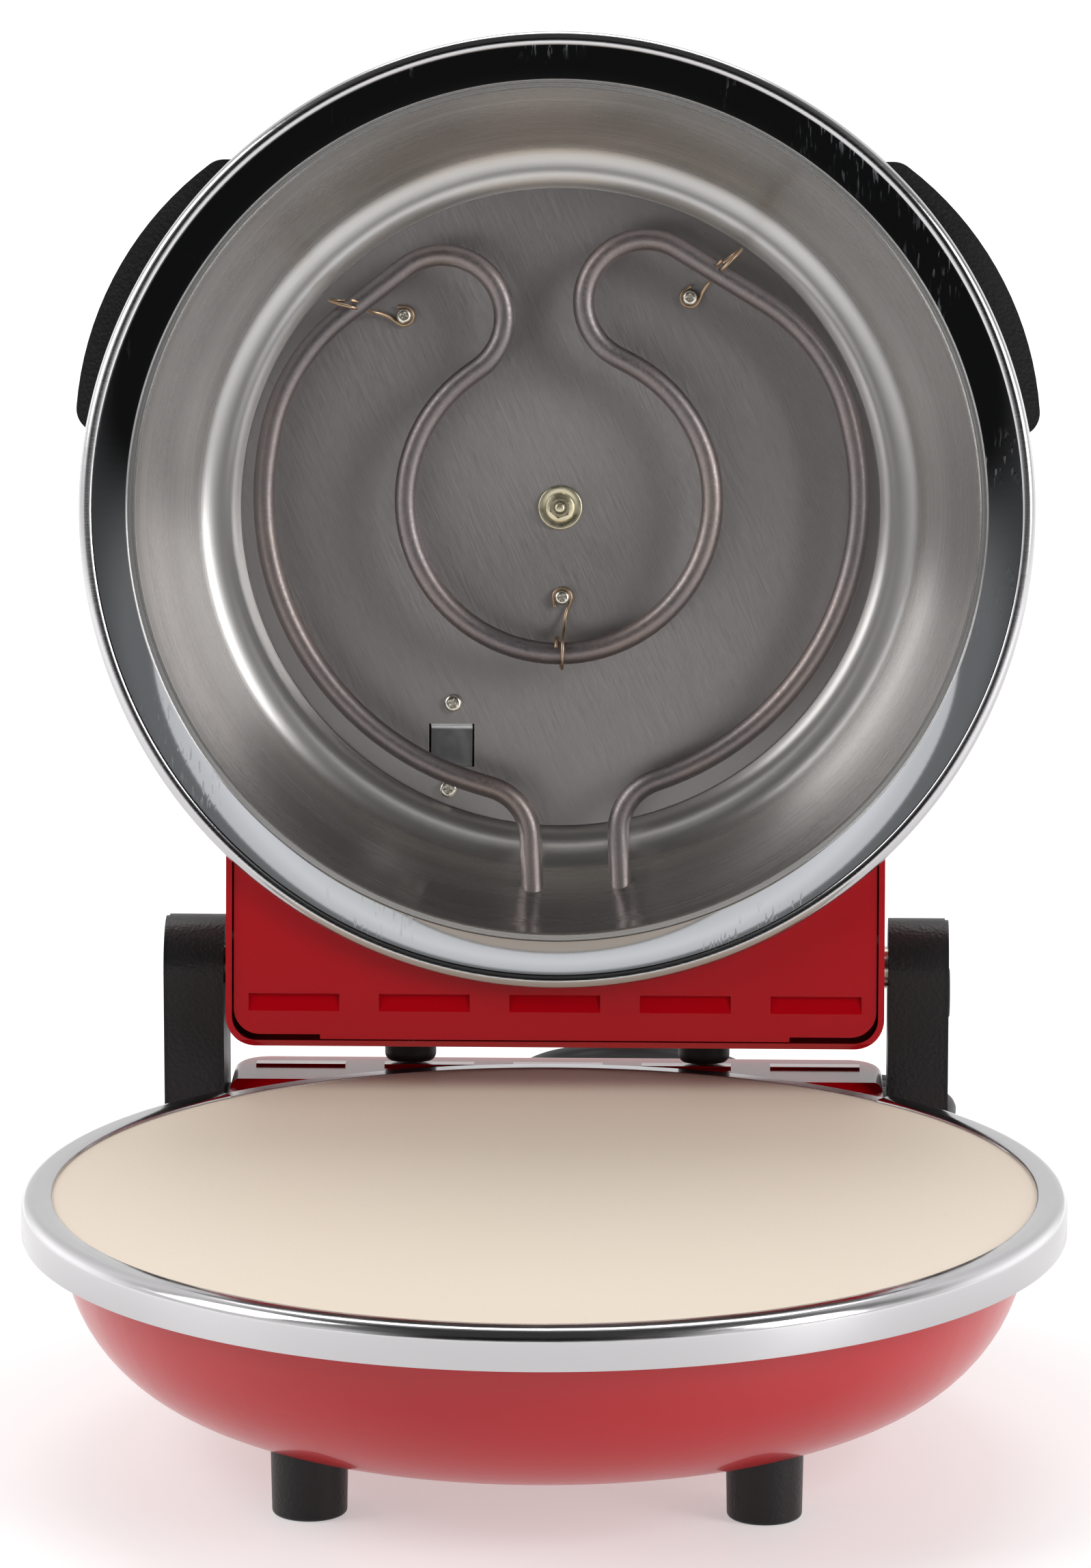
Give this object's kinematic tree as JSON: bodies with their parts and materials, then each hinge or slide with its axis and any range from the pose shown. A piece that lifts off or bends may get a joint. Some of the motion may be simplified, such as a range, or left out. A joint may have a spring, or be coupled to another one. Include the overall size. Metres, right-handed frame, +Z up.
{
  "type": "countertop pizza oven",
  "caption": "Countertop pizza oven with a round stone base, hinged heated lid standing open, black hinge arms and a mains lead",
  "frame": {"origin": "middle of the open oven's footprint, on the surface it stands on", "axes": "+X to the user's right along the hinge, +Y to the back, +Z up; lid shown open"},
  "size_m": [0.33, 0.6556, 0.4279],
  "materials": {
    "red_enamel": "gloss",
    "polished_steel": "polished",
    "brushed_disc": "brushed",
    "fired_clay": "matte",
    "heater_sheath": "heat-browned",
    "bronze_wire": "dull",
    "zinc_passivated": "zinc plate",
    "screw_steel": "bright",
    "bright_strip": "bright",
    "black_moulding": "fine grain",
    "dial_plastic": "satin",
    "lamp_red": "clear",
    "lamp_amber": "clear",
    "bumper_rubber": "matte",
    "white_ceramic": "matte",
    "cord_rubber": "matte"
  },
  "bodies": {
    "base": {"base_pan": "red_enamel", "trim_ring": "polished_steel", "pizza_stone": "fired_clay", "reflector_tray": "brushed_disc", "lower_element": "heater_sheath", "lower_element_clips": "bronze_wire", "base_rear_box": "red_enamel", "base_box_floor": "red_enamel", "terminal_block": "white_ceramic", "hinge_arm_right": "black_moulding", "hinge_arm_left": "black_moulding", "arm_cap_right": "black_moulding", "arm_cap_left": "black_moulding", "arm_screws_right": "screw_steel", "arm_screws_left": "screw_steel", "hinge_pin_right": "screw_steel", "hinge_pin_left": "screw_steel", "foot_front_left": "black_moulding", "foot_front_right": "black_moulding", "foot_rear_left": "black_moulding", "foot_rear_right": "black_moulding", "foot_screws": "screw_steel", "cord_gland": "cord_rubber", "cord_lead": "cord_rubber", "cord_coil": "cord_rubber", "mains_plug": "cord_rubber", "plug_pins": "screw_steel"},
    "lid": {"lid_dome": "red_enamel", "lid_bowl": "brushed_disc", "lid_plate": "brushed_disc", "lid_rim": "polished_steel", "upper_element": "heater_sheath", "element_clips": "bronze_wire", "clip_screws": "screw_steel", "centre_stud": "zinc_passivated", "penny_washer": "zinc_passivated", "thermostat_strip": "bright_strip", "thermostat_body": "black_moulding", "thermostat_screws": "screw_steel", "lid_box_shell": "red_enamel", "lid_box_cover": "red_enamel", "bumper_left": "bumper_rubber", "bumper_right": "bumper_rubber", "bumper_screws": "screw_steel", "hinge_bush_right": "black_moulding", "hinge_bush_left": "black_moulding", "handle_band": "black_moulding", "handle_screws": "screw_steel", "control_panel": "black_moulding", "pilot_lamp_power": "lamp_red", "pilot_lamp_heat": "lamp_amber"},
    "dial": {"thermostat_knob": "dial_plastic", "thermostat_shaft": "screw_steel"}
  },
  "joints": [
    {"name": "lid_hinge", "type": "hinge", "parent": "base", "child": "lid", "pos_m": [0, 0.10969, 0.1175], "axis": [1, 0, 0], "range_deg": [0, 98.7]},
    {"name": "thermostat_dial", "type": "hinge", "parent": "lid", "child": "dial", "pos_m": [-0.0363, 0.16556, 0.18179], "axis": [0, 0.9885, -0.1513], "range_deg": [-270, 0]}
  ]
}
